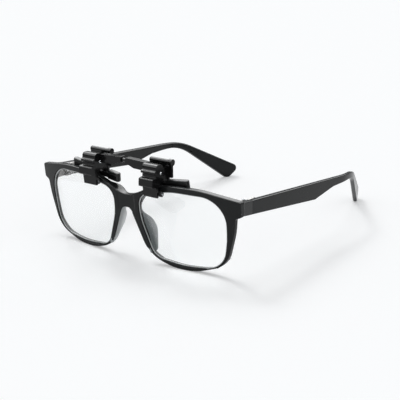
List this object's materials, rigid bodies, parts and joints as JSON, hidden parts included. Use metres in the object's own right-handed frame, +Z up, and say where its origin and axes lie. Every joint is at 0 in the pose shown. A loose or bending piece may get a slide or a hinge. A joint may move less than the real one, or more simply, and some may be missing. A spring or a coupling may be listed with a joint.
{
  "type": "clip-on glasses",
  "caption": "Black plastic spectacles with clear lenses and folding temples, with a spring-clamp carrier with a telescoping bridge clipped over the top rim.",
  "frame": {"origin": "on the floor under the middle of the whole width and depth, the floor being where the rims and the temple tips stand", "axes": "+X to the wearer's left, +Y from the lenses back to the head, +Z up"},
  "size_m": [0.1408, 0.1832, 0.0587],
  "materials": {
    "frame_plastic": "polished black moulding",
    "lens_clear": "clear and polished",
    "nose_pad": "smooth translucent silicone",
    "hinge_steel": "plain bright steel",
    "clamp_plastic": "glossy black moulding",
    "clamp_rubber": "matte black rubber",
    "clamp_steel": "plain bright steel"
  },
  "bodies": {
    "spectacles": {"frame_front": "frame_plastic", "lens_right": "lens_clear", "lens_left": "lens_clear", "nose_pad_right": "nose_pad", "nose_pad_left": "nose_pad", "hinge_front_right": "hinge_steel", "hinge_front_left": "hinge_steel", "hinge_screw_right": "hinge_steel", "hinge_screw_left": "hinge_steel"},
    "temple_right": {"temple_right": "frame_plastic", "hinge_temple_right": "hinge_steel"},
    "temple_left": {"temple_left": "frame_plastic", "hinge_temple_left": "hinge_steel"},
    "carrier_left": {"rear_lever_left": "clamp_plastic", "jaw_cap_out_left": "clamp_rubber", "jaw_cap_in_left": "clamp_rubber", "axle_left": "clamp_steel", "torsion_spring_left": "clamp_steel", "bridge_bar_left": "clamp_plastic", "guide_pin": "clamp_steel"},
    "carrier_right": {"rear_lever_right": "clamp_plastic", "jaw_cap_out_right": "clamp_rubber", "jaw_cap_in_right": "clamp_rubber", "axle_right": "clamp_steel", "torsion_spring_right": "clamp_steel", "bridge_bar_right": "clamp_plastic"},
    "jaw_left": {"front_lever_left": "clamp_plastic", "jaw_roller_left": "clamp_rubber", "roller_pin_left": "clamp_steel"},
    "jaw_right": {"front_lever_right": "clamp_plastic", "jaw_roller_right": "clamp_rubber", "roller_pin_right": "clamp_steel"}
  },
  "joints": [
    {"name": "temple_fold_right", "type": "hinge", "parent": "spectacles", "child": "temple_right", "pos_m": [0.0625, -0.06324, 0.03655], "axis": [0, 0, 1], "range_deg": [0, 76]},
    {"name": "temple_fold_left", "type": "hinge", "parent": "spectacles", "child": "temple_left", "pos_m": [-0.0625, -0.06324, 0.03655], "axis": [0, 0, -1], "range_deg": [0, 90]},
    {"name": "clip_lift", "type": "slide", "parent": "spectacles", "child": "carrier_left", "axis": [0, -0.0993, 0.9951], "range_m": [0, 0.025]},
    {"name": "bridge_slide", "type": "slide", "parent": "carrier_left", "child": "carrier_right", "axis": [1, 0, 0], "range_m": [-0.0012, 0.0015]},
    {"name": "clamp_right", "type": "hinge", "parent": "carrier_right", "child": "jaw_right", "pos_m": [0.021, -0.08439, 0.0526], "axis": [-1, 0, 0], "range_deg": [0, 14], "stiffness_Nm_per_rad": 0.01, "springref_deg": -20.05},
    {"name": "clamp_left", "type": "hinge", "parent": "carrier_left", "child": "jaw_left", "pos_m": [-0.021, -0.08439, 0.0526], "axis": [-1, 0, 0], "range_deg": [0, 14], "stiffness_Nm_per_rad": 0.01, "springref_deg": -20.05}
  ]
}
